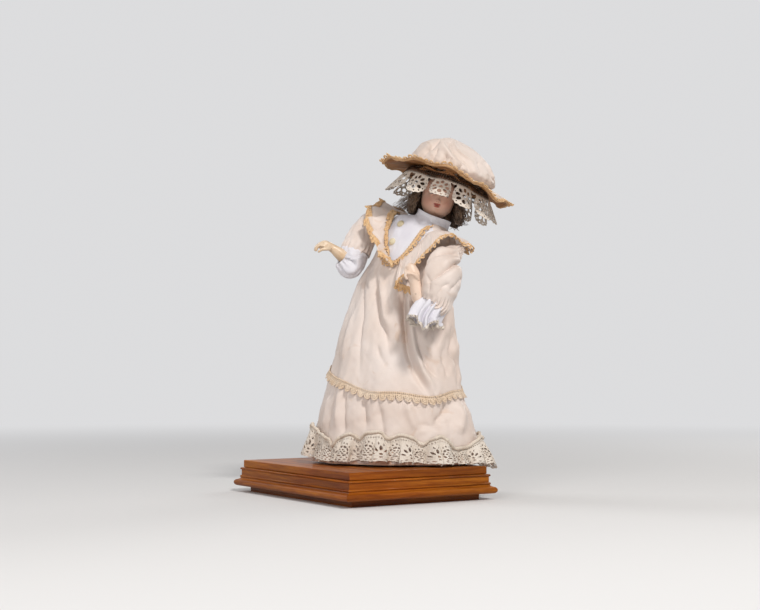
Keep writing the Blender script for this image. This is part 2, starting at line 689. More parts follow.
CORD_LEVELS = [
    (-180, 0.95), (-150, 0.8), (-128, 1.05), (-105, 0.85), (-88, 1.0), (-71.4, 1.24), (-62, 1.0),
    (-52, 0.95), (-41, 0.84), (-38, 0.60), (-33.3, 0.9), (-21.7, 1.05), (-17, 0.86), (-11, 1.06),
    (-0.5, 1.10), (3, 0.88), (11.6, 1.03), (17, 0.98), (22.2, 0.9), (26.4, 0.72), (32.3, 0.89), (39, 1.0),
    (46.1, 0.8), (51.8, 0.6), (58, 0.62), (65.1, 0.64), (78, 0.95), (92, 0.7), (108, 1.0), (126, 0.8),
    (145, 1.05), (163, 0.8), (180, 0.95)]


def cord_level(degrees, spread=0.9, steps=2):
    """The cord's level, averaged over spread degrees to either side in steps."""
    spots, levels = zip(*CORD_LEVELS)
    return np.mean([np.interp(degrees + spread * k, spots, levels) for k in range(-steps, steps + 1)], axis=0)


def puff(degrees):
    """How far the gathers push the flounce out, from -1 in a valley to 1 on a crest."""
    return np.clip((cord_level(degrees) - cord_level(degrees, 3, 5)) / 0.09, -1, 1)


HEM_PERIOD = 34.8
HEM_LENGTH = 21 * HEM_PERIOD
HEM_DEPTH = 36.0
FLOWER_DOWN = 15.5
# Holes of the leaf sprays between the flowers: across, down, half width, half height and turn
LEAF_HOLES = [(0, 12, 1.0, 2.6, 0), (3.0, 14, 0.85, 2.3, 0.6), (4.6, 18.2, 0.8, 2.0, 1.0),
              (0, 18.6, 0.9, 1.3, 0), (1.9, 8.0, 0.6, 1.2, 0.4), (0, 23.0, 0.9, 1.1, 0)]


def hem_pattern(s, t):
    """Ringed flowers and leaf sprays over a scalloped picot edge."""
    x, between = repeat(s, HEM_PERIOD), repeat(s + HEM_PERIOD / 2, HEM_PERIOD)
    scallop = np.abs(np.cos(math.pi * s / 11.6))
    field = 30.6 + 3.6 * scallop ** 0.8 + 0.6 * np.cos(TAU * s / 2.9) - t
    field = np.minimum(field, oval(repeat(s, 2.9), t, 0, 3.2, 0.6, 0.8))
    away, angle = np.hypot(x, t - FLOWER_DOWN), np.arctan2(t - FLOWER_DOWN, x)
    spoke = np.abs(away * np.sin(repeat(angle, TAU / 9)))
    field = np.minimum(field, np.maximum(np.abs(away - 5.4) - 0.85, 0.5 - spoke))
    flower = rosette(x, t - FLOWER_DOWN, 2.5, 6, 0.7, 1.3)
    field = np.where(away < 4.2, np.minimum(field, flower), field)
    beads = np.hypot(away - 8.8, away * repeat(angle + 0.2, TAU / 15)) - 0.8
    field = np.where((away > 7.4) & (away < 10.4), np.minimum(field, beads), field)
    for sway, row, wide, tall, turn in LEAF_HOLES:
        for side in (-1, 1):
            field = np.minimum(field, oval(between, t, side * sway, row, wide, tall, side * turn))
    for sway, row, turn in ((0, 28.6, 0), (2.9, 27.2, 0.5), (-2.9, 27.2, -0.5)):
        field = np.minimum(field, oval(repeat(s, 11.6), t, sway, row, 0.75, 1.5, turn))
    return field


def flounce_points(degrees, share, lift):
    """The gathered flounce: it puffs out where its heading stands high and is drawn in where it dips."""
    puffed = puff(degrees)
    ripple = cosd(degrees * 31 + 25 * sind(degrees * 5)) + 0.5 * cosd(degrees * 53)
    flare = 6 * np.maximum(0, cosd(degrees - 88)) ** 6
    belly = np.sin(math.pi * np.clip(0.12 + 0.62 * share, 0, 1))
    reach = 3.4 + 3.2 * np.maximum(puffed, 0) + (6.5 + flare) * share
    reach = reach + 6.0 * puffed * belly * (0.4 + 0.6 * share)
    phase = np.radians(degrees * 41 + 60 * sind(degrees * 3) + 40 * share)
    loose = np.minimum(share * 1.6, 1)
    reach = reach + (0.5 + 1.7 * np.minimum(share, 1)) * ripple + 3.0 * loose * np.cos(phase)
    level = cord_level(degrees) * np.maximum(1 - share, 0) ** 1.15
    folds = gown_folds(degrees, np.maximum(level, 0.25)) * (1 - 0.85 * np.minimum(share, 1))
    overlap = 2.1 * loose * np.sin(phase)
    edge = gown_points(degrees + overlap, level, np.maximum(reach, 1.6) + lift, share * 2, folds)
    base_y = (edge @ TO_BASE_TURN.T)[..., 1] + TO_BASE_SHIFT[1] / MM
    raised = 10 * np.maximum(0, cosd(degrees + 88)) ** 6 + 5.0 * bell(degrees + 5, 32)
    raised = raised + 1.3 * np.cos(phase) + 1.2
    past_board = np.clip(base_y - 120, 0, 7)  # how far the flounce reaches over the board's rear edge
    edge[..., 2] += raised * share - share * past_board
    return edge


def tube_points(line, radii, sides, twist=0.0):
    """Rings round a line of points; radii may be one value or one per point."""
    line = np.asarray(line, dtype=float)
    radii = np.broadcast_to(np.asarray(radii, dtype=float), (len(line),))
    way = np.gradient(line, axis=0)
    way /= np.linalg.norm(way, axis=1)[:, None] + 1e-9
    normal = np.cross(way[0], (0.3, 0.2, 1.0))
    normal /= np.linalg.norm(normal)
    rings = []
    for point, forward, radius in zip(line, way, radii):
        normal = normal - forward * (normal @ forward)
        normal /= np.linalg.norm(normal)
        side = np.cross(forward, normal)
        angle = np.linspace(0, TAU, sides, endpoint=False) + twist
        rings.append(point + radius * (np.cos(angle)[:, None] * normal + np.sin(angle)[:, None] * side))
    return np.concatenate(rings)


def build_hem():
    def place(s, t, lift):
        return flounce_points(s / HEM_LENGTH * 360 - 180, np.clip(t / 34.0, 0, 1.04), lift)

    lace("hem_flounce", hem_pattern, HEM_LENGTH, HEM_DEPTH, 0.78, place, IVORY_LACE, 0.8, 0.45,
         node="hem_lace")

    degrees = np.linspace(-180, 180, 900)
    line = flounce_points(degrees, 0.0 * degrees, 1.2) + (0, 0, 1.0)
    tube("hem_cord", line, 2.3 + 0.4 * waver(degrees[:, None] * 1.6, 7, 11), 8, CORD)

    at, share = grid(22, 361)
    edge = gown_points(at, 0.62 * (1 - share), -1.2 + (1.6 + 0.6 * cosd(at * 18 + 30)) * share, 1.4 * share)
    cloth("peach_underskirt", edge, PETTICOAT, stacked(at * 2, share * HEM_DEPTH), 0.7)


def build_petticoat():
    at, level = grid(30, 361, top=2.7)
    points = gown_points(at, level, -10.6)
    points[..., 2] -= 1.6 * np.clip(1 - level, 0, 1)
    cloth("petticoat_cloth", points, COTTON, stacked(*unrolled(at, level)), 0.8, 0.0, node="petticoat")


# Half-round beads on the base: name, the node they are on, how far over its top, and radius
BEADS = [("base_upper_bead", "frame_front", -1.6, 1.5), ("base_lower_bead", "moulding_front", 0.2, 1.8)]
BEAD_SUNK = 0.8


def build_beads():
    """Beads mitred round the base, under the top board and over the moulding."""
    boxes = np.array([[list(end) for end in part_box("frame_" + side)]
                      for side in ("left", "right", "front", "rear")])
    low, high = boxes[:, 0, :2].min(axis=0), boxes[:, 1, :2].max(axis=0)
    middle, half = (low + high) / 2, (high - low) / 2
    turn = np.linspace(-90, 90, 11)
    for name, node, above, size in BEADS:
        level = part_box(node)[1][2] + above * MM
        round_edge = size * stacked(cosd(turn), sind(turn))
        profile = np.concatenate([[(-BEAD_SUNK, -size)], round_edge, [(-BEAD_SUNK, size)]]) * MM
        corners = [(middle[0] + x * (half[0] + out), middle[1] + y * (half[1] + out), level + up)
                   for x, y in ((-1, -1), (1, -1), (1, 1), (-1, 1), (-1, -1)) for out, up in profile]
        points = (np.array(corners) - TO_BASE_SHIFT) @ TO_BASE_TURN / MM
        faces = grid_faces(5, len(profile))
        sides = np.arange(len(faces)) // (len(profile) - 1) % 2
        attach(mesh_object(name, points, faces, [OAK_X, OAK_Y], face_materials=sides), "root")


build_beads()
build_gown()
build_band()
build_hem()
build_petticoat()


# Hat, hair and head, each laid out in its own upright frame

def leaning(place, lean, turn=0):
    """The matrix of an upright frame, turned and then leant to the viewer's right."""
    matrix = Matrix.Translation(place) @ Matrix.Rotation(math.radians(lean), 4, "Y")
    return np.array(matrix @ Matrix.Rotation(math.radians(turn), 4, "Z"))


def carried(frame_matrix, points):
    return np.asarray(points, dtype=float) @ frame_matrix[:3, :3].T + frame_matrix[:3, 3]


def ring(across, deep, degrees, height, shift=0.0):
    """Points round an upright oval: 0 degrees is at the front, and 90 at the viewer's right."""
    return stacked(shift + across * sind(degrees), -deep * cosd(degrees), height)


HAT_TO_FIGURE = leaning((68, 0, 425), 19)
NECK_TO_FIGURE = leaning((51.5, 3, 378), 13)
BRIM_INNER, BRIM_WIDTH, BRIM_SEAT = 49, 43, 15.6
# The crown's height, radius and shift, from the brim up
CROWN = [(15, 53, 2), (16, 55, 2), (23, 62, 4.5), (30, 61.5, 4), (38, 56, 1), (48, 48, -2), (56.5, 36, -3),
         (61.5, 24.5, -3), (65.5, 13, -7), (67.5, 4.5, -12), (67.8, 0.2, -12.3)]
# Its creases: height, width to either side, then (degrees, height) points
CROWN_CREASES = [
    (-3.2, 6, 9, [(-27, 67), (-14, 52), (-4, 41), (13, 31), (20, 22)]),
    (2.8, 7, 5, [(-52, 66), (-28, 54), (-16, 44), (-2, 33)]),
    (-2.4, 4, 6, [(-46, 62), (-38, 48), (-42, 34)]),
    (-2.0, 3, 3, [(-30, 42), (-31, 30), (-34, 20)]),
    (-2.4, 3, 4, [(-44, 40), (-48, 30), (-50, 20)]),
    (-2.2, 3, 3, [(-14, 36), (-17, 26), (-18, 18)]),
    (-2.6, 4, 7, [(52, 34), (64, 30), (82, 27), (96, 26)]),
    (-2.2, 4, 5, [(40, 44), (36, 34), (33, 24)]),
    (2.5, 6, 6, [(60, 48), (66, 38), (70, 28)]),
    (1.6, 3, 3, [(-14, 67), (-4, 56), (8, 45), (28, 40)]),
    (-1.6, 3, 3, [(-8, 34), (-9, 26), (-8, 18)]),
    (-1.6, 3, 3, [(8, 30), (6, 24), (4, 18)]),
    (-2.5, 5, 6, [(120, 50), (118, 36), (121, 22)]),
    (-2.5, 5, 6, [(158, 54), (150, 38), (147, 22)]),
    (-2.8, 5, 6, [(200, 52), (207, 38), (206, 22)]),
    (-2.5, 5, 6, [(240, 56), (246, 40), (250, 22)]),
]
CROWN_SCALE = np.array((0.95, 1.15))  # millimetres of cloth per degree and per millimetre of height


def hat_points(radius, degrees, height, shift=0.0):
    return carried(HAT_TO_FIGURE, ring(radius, radius, degrees, height, shift))


def brim_height(degrees):
    dip = 9 * np.maximum(0, cosd(degrees - 46)) ** 9
    return 10 + 4 * cosd(2 * degrees) + 2.2 * cosd(11 * degrees) - dip


def build_crown():
    at, row = grid(110, 361, top=len(CROWN) - 1)
    height, radius, shift = np.moveaxis(catmull(CROWN, row), -1, 0)
    circle = (at + 90) % 360 - 90
    jitter = 9 * waver(stacked(at * 0.4, 0 * at), 30, 21)
    out = 0.9 * np.exp(-np.maximum(row - 1, 0) / 1.3) * cosd(31 * at + 3 * jitter)
    out += 1.1 * np.exp(-row / 3.5) * cosd(13 * at + jitter)
    across, up = circle * CROWN_SCALE[0], height * CROWN_SCALE[1]
    for deep, left, right, route in CROWN_CREASES:
        out += 1.8 * fold(across, up, route * CROWN_SCALE, deep, 0.75 * left, 0.75 * right, least=0.2)
    out += 0.8 * waver(stacked(circle, height * 1.2), 30, 22) * np.clip(radius / 30, 0, 1)
    reach = np.maximum(radius + out * np.clip(radius / 25, 0, 1), 0.1)
    points = hat_points(reach, at, height + 0.25 * out, shift)
    cloth("hat_crown_cloth", points, HAT_SILK, stacked(at, row * 16), 0.9, body="head", node="hat_crown")


def brim_point(share, degrees, raised):
    ruffled = cosd(37 * degrees + 40 * sind(3 * degrees)) * (1 - share) ** 2
    rough = waver(stacked(degrees * 1.3, share * BRIM_WIDTH), 34, 31) * share
    height = BRIM_SEAT + (brim_height(degrees) - BRIM_SEAT) * share ** 1.4 + ruffled + rough
    return hat_points(BRIM_INNER + BRIM_WIDTH * share, degrees, height + raised)


def build_brim():
    at, share = grid(34, 481)
    uvs = stacked(at * 1.25, share * BRIM_WIDTH)
    cloth("hat_brim_cloth", brim_point(share, at, 0.6), HAT_SILK, uvs, 0.7, 0, "head", "hat_brim")
    cloth("hat_brim_lining", brim_point(share, at, -0.4), UNDER_BRIM, uvs, 0.7, 0, "head")
    degrees = np.linspace(-180, 180, 721)
    rim = brim_point(1.0, degrees, 0)
    tube("hat_brim_rim", rim, 2.0 + 0.35 * waver(degrees[:, None], 5, 5), 8, BRIM_CORD, "head")
    edge_lace("hat_brim_trim", rim, rim - brim_point(0.93, degrees, 0), (0, 0, 1),
              1.08, 4.6, -0.55, 1.0, 23, "head")


def build_hat_inside():
    """The tan lining between the brim and the head, drawn up in small puckers."""
    at, share = grid(14, 241)
    height = brim_height(at) * (1 - share) + 15 * share + 0.7 * cosd(37 * at) * share - 1.2
    uvs = stacked(at * 0.9, share * 24)
    cloth("hat_inner_lining", hat_points(58.5 - 24 * share, at, height), UNDER_BRIM, uvs, 0.6, 0, "head")


PETAL_PERIOD, PETAL_DEPTH = 8.8, 10.4


def petal_pattern(s, t):
    """Crochet edging: small loops, a cord and a row of petals."""
    x, side = repeat(s, PETAL_PERIOD), repeat(s + PETAL_PERIOD / 4, PETAL_PERIOD / 2)
    cord = 1.3 - np.abs(t - 3.2)
    petal = 3.9 - np.hypot(x, (t - 6.2) * 0.97)
    loop = 1.9 - np.hypot(side, t - 1.8)
    field = np.maximum(np.maximum(cord, petal), loop)
    field = np.minimum(field, np.hypot(x, t - 6.6) - 1.15)
    field = np.minimum(field, np.hypot(side, t - 1.5) - 0.65)
    for sway in (-1, 1):
        field = np.minimum(field, oval(x, t, sway * 2.4, 6.0, 0.5, 1.0, sway * 0.5))
    return field


def travelled(line):
    """How far along a line each of its points is."""
    return np.concatenate([[0], np.cumsum(np.linalg.norm(np.diff(line, axis=0), axis=1))])


def edge_lace(name, line, outward, up, fullness, start, curl=0.0, wave=0.0, waves=0, body="root",
              pattern=petal_pattern, period=PETAL_PERIOD, depth=PETAL_DEPTH, material=GOLD_LACE, cell=0.62):
    """Lace laid along an edge: start is the depth that lies on the edge itself."""
    outward, run = unit(np.asarray(outward, float)), travelled(line)
    normal = unit(np.cross(np.gradient(line, axis=0), outward))
    normal *= np.where(normal @ np.asarray(up, float) < 0, -1, 1)[:, None]
    length = max(1, round(run[-1] * fullness / period)) * period

    def place(s, t, lift):
        at = s / length * run[-1]
        spot, out, face = (stacked(*(np.interp(at, run, column) for column in columns.T))
                           for columns in (line, outward, normal))
        beyond = t - start
        sway = wave * np.sin(s / length * TAU * waves) * np.clip(t / depth, 0, 1)
        rise = lift + 0.9 - curl * np.maximum(beyond, 0) + sway
        return spot + out * beyond[..., None] + face * rise[..., None]

    lace(name, pattern, length, depth, cell, place, material, body=body)


SCALLOPS, SCALLOP = 12, 34.0  # how many, and the width of one
MEDALLION_DOWN = 19.5


def medallion_pattern(s, t):
    """Deep round medallions with petal eyelets, joined by a netted band."""
    x, down = repeat(s, SCALLOP), t - MEDALLION_DOWN
    spread, angle = np.hypot(x, down), np.arctan2(down, x)
    header = 9.6 + 1.2 * np.abs(np.cos(math.pi * s / 8.5)) - t
    shape = np.maximum(13.4 + 0.45 * np.cos(18 * angle) - spread, header)
    petals = rosette(x, down, 6.9, 8, 1.75, 1.45)
    field = np.minimum(shape, np.where(spread < 10.5, petals, 9))
    nearest = repeat(angle + 0.19, TAU / 16)
    rim = np.hypot((spread * np.cos(nearest) - 11.0) / 1.15, spread * np.sin(nearest)) - 0.75
    field = np.minimum(field, np.where((t > 13) & (spread > 9.4), rim, 9))
    ladder = np.maximum(0.5 - np.abs(repeat(s, SCALLOP / 10)), np.maximum(1.1 - t, 0.5 - np.abs(t - 4.8)))
    return np.where(t < 8.6, np.minimum(field, np.maximum(ladder, t - 8.2)), field)


def build_hat_lace():
    """A deep frill that hangs from under the brim, shorter over the face and fuller at the viewer's right."""
    def place(s, t, lift):
        turn = s / (SCALLOPS * SCALLOP) * 360 - 180
        degrees, share = turn - 5, t / 32.0
        uneven = 0.5 + 0.5 * sind(degrees * 2.3 + 70)
        twist = 4.2 * sind(SCALLOPS * turn) * (0.4 + 0.6 * uneven)
        flare = 9 + (3.0 + 2.2 * uneven) * cosd(SCALLOPS * turn) + 8 * np.abs(sind(degrees))
        radius = 57 + share * (flare + 9 * bell(repeat(degrees - 72, 360), 28))
        short = 1 - 0.17 * bell(repeat(turn, 360), 15)
        height = 10.5 - 37 * share * short + 1.5 * sind(5 * degrees)
        return hat_points(radius + lift, degrees + twist * share * 0.9, height)

    lace("hat_lace_frill", medallion_pattern, SCALLOPS * SCALLOP, 33.4, 0.8, place, HAT_LACE, 0.8,
         body="head", node="hat_lace")


# Head: height, half width, reach forward, reach back, about the neck's axis

HEAD_RINGS = [
    (-6, 9, 9, 9), (0, 9, 9, 9), (6, 9.5, 11, 10), (8, 11.5, 15, 12), (10.5, 14.5, 18.2, 15),
    (14, 17.5, 20, 18),
    (18, 20.2, 21, 21), (22.5, 21.8, 21.6, 24), (28, 22.8, 21.8, 26), (34, 23.2, 21.6, 27.5),
    (40, 23.2, 21.2, 28), (47, 22.6, 22, 28), (53, 20.4, 20.6, 26), (59, 16.4, 16.8, 21),
    (63.3, 10.5, 11, 14), (65.3, 3.5, 4, 5), (65.6, 0.2, 0.2, 0.2)]
EYE_ACROSS, EYE_HEIGHT, EYE_RADIUS = 8.4, 36.6, 4.5
EYE_FRONT, LID_THICKNESS = -17.5, 0.45
BALL_COLUMNS = 32
# The face's relief: across, height, width, tall, out
FEATURES = [
    (0, 27.3, 2.3, 2.4, 4.0), (0, 33.0, 1.7, 5.5, 2.4), (0, 22.0, 3.6, 1.1, 1.35), (0, 19.0, 3.0, 1.2, 1.45),
    (0, 20.55, 4.2, 0.45, -0.75), (0, 16.6, 3.4, 1.2, -0.5), (0, 12.6, 5.0, 3.2, 1.9),
    (0, 24.3, 0.7, 1.5, -0.4), (0, 42.5, 9.5, 3.0, 0.9)]
for sign in (-1, 1):
    FEATURES += [
        (sign * 2.5, 26.6, 1.1, 1.2, 1.5), (sign * 1.25, 25.4, 0.55, 0.4, -0.8),
        (sign * 1.1, 22.5, 1.2, 0.7, 0.4), (sign * 11, 24, 5.0, 6.0, 1.3),
        (sign * EYE_ACROSS, EYE_HEIGHT, 4.6, 2.7, -2.3),
        (sign * EYE_ACROSS, 41.4, 5.0, 1.1, 0.8), (sign * EYE_ACROSS, 33.0, 4.2, 1.0, 0.25),
        (sign * 5.0, 20.4, 0.8, 0.8, -0.4)]
# The face's paint: across, height, half width, half height, softness, strength and colour
SIDE_PAINT = [
    (12, 24.5, 6.5, 6.0, 0.9, 0.32, rgb(206, 122, 100)),
    (EYE_ACROSS, 37.5, 5.4, 3.6, 0.5, 0.5, rgb(168, 112, 92)),
    *((x, z, long, 0.75, 0.4, 0.75, rgb(88, 54, 34))
      for x, z, long in ((5.2, 43.6, 2.4), (8.2, 44.7, 2.8), (11.6, 44.3, 2.6), (14.2, 42.9, 1.8))),
    (2.1, 22.0, 2.9, 1.2, 0.35, 0.9, rgb(160, 62, 50)), (1.3, 25.3, 0.7, 0.4, 0.4, 0.8, rgb(150, 66, 52))]
MIDDLE_PAINT = [(0, 19.1, 3.9, 1.5, 0.35, 0.9, rgb(168, 70, 56)),
                (0, 20.6, 4.3, 0.35, 0.6, 0.9, rgb(98, 34, 28))]


def face_reach(across, height):
    return sum(out * np.exp(-((across - x) / width) ** 2 - ((height - z) / tall) ** 2)
               for x, z, width, tall, out in FEATURES)


def bisque_paint(name, dark, light, painted=(), **sockets):
    """Tinted bisque; painted is (side, spots) pairs of brush work, laid by UVs across and up the face."""
    paint = Paint(name, 0.42, **sockets)
    skin = paint.mix(paint.patches(40, 0.35, 0.7, 3), dark, light)
    for side, spots in painted:
        for x, z, half_x, half_z, soft, strength, tint in spots:
            place = paint.add("TexCoord").outputs["UV"]
            away = paint.add("VectorMath", {0: place, 1: (side * x * MM, z * MM, 0)}, operation="SUBTRACT")
            scaled = paint.add("VectorMath", {0: away.outputs[0], 1: (half_x * MM, half_z * MM, 1)},
                               operation="DIVIDE")
            mask = paint.add("MapRange", {"Value": paint.length(scaled.outputs[0]), "From Min": 1 + soft,
                                          "From Max": max(0.0, 1 - soft), "To Max": strength},
                             interpolation_type="SMOOTHSTEP")
            skin = paint.mix(mask.outputs[0], skin, tint)
    return paint.colour(skin).bump(paint.noise(260), 0.00015, 0.3).material


def eye_paint():
    eye = Paint("glass_eye", 0.06, Coat_Weight=0.6)
    place = eye.coords("UV")
    reach = eye.length(place)
    iris = eye.mix(eye.level(eye.noise(900, place, 4), 0.3, 0.7), rgb(52, 30, 18), rgb(112, 70, 38))
    tone = eye.mix(eye.level(reach, 0.00195, 0.00215), iris, rgb(226, 218, 208))
    return eye.colour(eye.mix(eye.level(reach, 0.00095, 0.00085), tone, (0.003, 0.003, 0.003, 1))).material


def composition_paint(name, light, dark):
    """Painted composition hands, rubbed at the knuckles."""
    paint = Paint(name, 0.38, Coat_Weight=0.25, Coat_Roughness=0.3)
    tone = paint.mix(paint.patches(45, 0.35, 0.68, 5), dark, light)
    tone = paint.mix(paint.patches(160, 0.66, 0.8), tone, darker(dark, 0.7))
    paint.colour(tone).rough(paint.noise(120), 0.3, 0.5)
    return paint.bump(paint.noise(210, None, 4), 0.0003, 0.35).material


def ball(middle, radius, rows, low=-90.0, tip=0.0):
    """Points and faces of a ball from a latitude up; its pole is along its own -Y, tipped about X."""
    longitude, latitude = np.meshgrid(np.linspace(0, 360, BALL_COLUMNS, endpoint=False),
                                      np.linspace(low, 90, rows))
    points = stacked(cosd(latitude) * cosd(longitude), -sind(latitude), cosd(latitude) * sind(longitude))
    points = points.reshape(-1, 3) * radius @ np.array(Matrix.Rotation(math.radians(tip), 3, "X")).T
    return points + middle, grid_faces(rows, BALL_COLUMNS, closed=True)


def build_head():
    at, row = grid(150, 181, top=len(HEAD_RINGS) - 1)
    height, width, front, back = np.moveaxis(catmull(HEAD_RINGS, row), -1, 0)
    across, along = width * sind(at), cosd(at)
    ahead = along > 0
    reach = np.where(ahead, front, back) * along
    reach += np.where(ahead & (height > 7), face_reach(across, height) * np.clip(along * 1.6, 0, 1), 0)
    paint = bisque_paint("painted_bisque", rgb(214, 170, 148), rgb(222, 182, 160),
                         ((-1, SIDE_PAINT), (1, SIDE_PAINT), (1, MIDDLE_PAINT)), Coat_Weight=0.12,
                         Subsurface_Weight=0.12, Subsurface_Scale=0.003, Subsurface_Radius=(1.0, 0.4, 0.25))
    cloth("bisque_head", carried(NECK_TO_FIGURE, stacked(across, -reach, height)), paint,
          stacked(across + np.where(ahead, 0, 1000), height), 0, 0, "head", "head")


def build_eyes():
    glass = eye_paint()
    lid_paint = bisque_paint("bisque_lid", rgb(206, 156, 134), rgb(214, 168, 146))
    lash = Paint("lash_paint", 0.7)
    lash.colour(lash.mix(lash.noise(300), rgb(46, 26, 18), rgb(74, 46, 30)))
    for side, name in ((-1, "right"), (1, "left")):
        middle = np.array((side * EYE_ACROSS, EYE_FRONT, EYE_HEIGHT))
        points, faces = ball(middle, EYE_RADIUS, 24)
        spots = (points - middle)[:, [0, 2]]
        spots[points[:, 1] > middle[1]] += 50  # keeps the iris off the back
        piece(name + "_eye", carried(NECK_TO_FIGURE, points), faces, glass, spots, body="head")
        for part, tip, low in (("upper", -62, 22.0), ("lower", 78, 30.0)):
            lid, faces = ball(middle, EYE_RADIUS + LID_THICKNESS, 14, low=low, tip=tip)
            piece(f"{name}_{part}_lid", carried(NECK_TO_FIGURE, lid), faces, lid_paint,
                  np.zeros((len(lid), 2)), 0.3, -1, "head")
            edge = lid[:BALL_COLUMNS]
            edge = edge[edge[:, 1] < middle[1] - 1.2]
            edge = edge[np.argsort(edge[:, 0])]
            piece(f"{name}_{part}_lashes", carried(NECK_TO_FIGURE, tube_points(edge, 0.22, 5)),
                  grid_faces(len(edge), 5, closed=True), lash.material, body="head")


def hair_paint():
    paint = Paint("mohair", 0.55, Sheen_Weight=0.3, Specular_IOR_Level=0.4)
    strand = paint.noise(1.0, paint.coords("UV", (1400, 30, 1)))
    tone = paint.mix(paint.level(strand, 0.3, 0.7), rgb(50, 35, 25), rgb(104, 78, 56))
    tone = paint.mix(paint.patches(55, 0.42, 0.7), tone, rgb(140, 114, 88))
    return paint.colour(tone).bump(strand, 0.0003, 0.6).material


# The wig's height, thickness over the head, and half of its opening in degrees
WIG_RINGS = [(4, 12, 84), (12, 14, 80), (19, 15, 74), (27, 15, 70), (35, 13, 66), (44, 10, 60), (52, 8, 50),
             (60, 6, 30), (66, 1, 10)]
FLATTENED = 0.9  # the wig's depth, of a round one's


def build_wig_bulk(material):
    share, level = grid(50, 200, top=len(WIG_RINGS) - 1, across=(0, 1))
    height, extra, half = np.moveaxis(catmull(WIG_RINGS, level), -1, 0)
    degrees = half + (360 - 2 * half) * share
    uvs = stacked(degrees * 0.5, height)
    curl = 1.5 * np.cos(9 * np.radians(degrees) + height * 0.35) + 1.2 * waver(uvs, 9, 41)
    dome = np.where(height > 50, np.sqrt(np.clip(1 - ((height - 50) / 17) ** 2, 0, 1)), 1)
    width, deep = (23.6 + extra + curl) * dome, (28.5 + 0.6 * extra + curl) * dome
    drop = 7 * np.maximum(0, sind(degrees)) ** 2 * (1 - height / 66) ** 2
    points = carried(NECK_TO_FIGURE, ring(width, FLATTENED * deep, degrees, height - drop))
    cloth("wig_bulk", points, material, uvs, 0, 0, "head", "wig")


def strands(name, hairs, sides, apart, material):
    """Many hairs as one piece, from their lines and radii; apart keeps their UVs from each other."""
    points, uvs, faces = [], [], []
    for number, (line, radii) in enumerate(hairs):
        count = len(line)
        points.append(carried(NECK_TO_FIGURE, tube_points(line, radii, sides)))
        faces.append(grid_faces(count, sides, closed=True) + number * count * sides)
        uvs.append(stacked(np.tile(np.arange(sides) * 0.8, count) + number * apart,
                           np.repeat(np.linspace(0, 40, count), sides)))
    piece(name, np.concatenate(points), np.concatenate(faces), material, np.concatenate(uvs), body="head")


def curl_line(rng):
    degrees = rng.uniform(66, 294)
    front, right = math.cos(math.radians(degrees)), math.sin(math.radians(degrees))
    start = rng.uniform(22, 50)
    end = rng.uniform(-2, 16) + 6 * max(0.0, -front) - 7 * max(0.0, right) ** 2
    out = rng.uniform(8, 17) if right > 0 else rng.uniform(7, 15)
    turns, phase, loop = rng.uniform(1.6, 3.6), rng.uniform(0, TAU), rng.uniform(1.2, 3.0)
    t = np.linspace(0, 1, 24)
    lean = degrees + rng.uniform(-10, 10) * t
    swell = out * np.sin(np.minimum(1, t * 1.15 + 0.12) * math.pi * 0.62)
    line = ring(24 + swell, FLATTENED * (28 + 0.6 * swell), lean, start + (end - start) * t)
    spin, reach = phase + TAU * turns * t, (loop * np.clip(t * 2, 0.15, 1))[:, None]
    line += reach * stacked(np.cos(spin) * sind(lean) + np.sin(spin) * cosd(lean),
                            np.sin(spin) * sind(lean) - np.cos(spin) * cosd(lean), 0)
    if front > -0.25:
        line[:, 2] = np.maximum(line[:, 2], 3.6)  # clear of the bib as the head turns
    return line, rng.uniform(0.5, 1.15) * (1 - 0.75 * t ** 2) * np.clip(t * 6, 0.3, 1)


def wisp_line(rng):
    side = -1 if rng.random() < 0.62 else 1
    degrees = side * rng.uniform(62, 125)
    start, fall = rng.uniform(16, 34), rng.uniform(12, 26)
    out = rng.uniform(8, 26) if side < 0 else rng.uniform(5, 15)
    t = np.linspace(0, 1, 16)
    lean = degrees + np.degrees(side * rng.uniform(-0.25, 0.35) * t)
    reach = out * t ** 0.8
    line = ring(35 + reach, FLATTENED * (36 + 0.7 * reach), lean, start - fall * t)
    spin = rng.uniform(0, TAU) + TAU * rng.uniform(1.0, 3.2) * t
    loop = rng.uniform(0.8, 2.6) * t
    line[:, 0] += loop * np.cos(spin)
    line[:, 2] = np.maximum(line[:, 2] + loop * np.sin(spin), 3.5 + 0.22 * reach)  # clear of the frill
    return line, rng.uniform(0.16, 0.32) * (1.05 - 0.8 * t)


def build_wig():
    rng, material = random.Random(7), hair_paint()
    build_wig_bulk(material)
    strands("wig_curls", [curl_line(rng) for _ in range(420)], 5, 3.7, material)
    strands("wig_wisps", [wisp_line(rng) for _ in range(230)], 4, 3.1, material)


COLLAR_PROFILE = [(28.0, -5.6), (25.6, -2.2), (24.5, 1.2), (24.4, 5.0), (24.9, 8.4), (24.9, 9.6),
                  (24.2, 10.0), (23.2, 9.6), (22.8, 8.4), (22.2, 5.0), (21.2, 0.4)]


def build_collar():
    """Standing lawn collar with a folded, stitched top edge that dips at the front."""
    at, row = grid(52, 181, top=len(COLLAR_PROFILE) - 1)
    radius, height = np.moveaxis(catmull(COLLAR_PROFILE, row), -1, 0)
    radius += 0.35 * waver(stacked(at * 0.42, height), 9, 51) + 0.05 * cosd(40 * at)
    radius -= 0.25 * bell(height - 7.6, 0.35)
    height = height - 4.2 * np.clip(height / 10, 0, 1) * np.clip(cosd(at - 15), 0, 1) ** 2
    points = carried(leaning((50, 0, 377), 25, -30), ring(radius, radius, at, height))
    cloth("collar_cloth", points, COTTON, stacked(at * 0.42, height), 0, 0, node="collar")


build_crown()
build_brim()
build_hat_inside()
build_hat_lace()
build_head()
build_eyes()
build_wig()
build_collar()


# Sleeves, cuffs and hands

VIEWER = np.array((0.0, -1.0, 0.0))


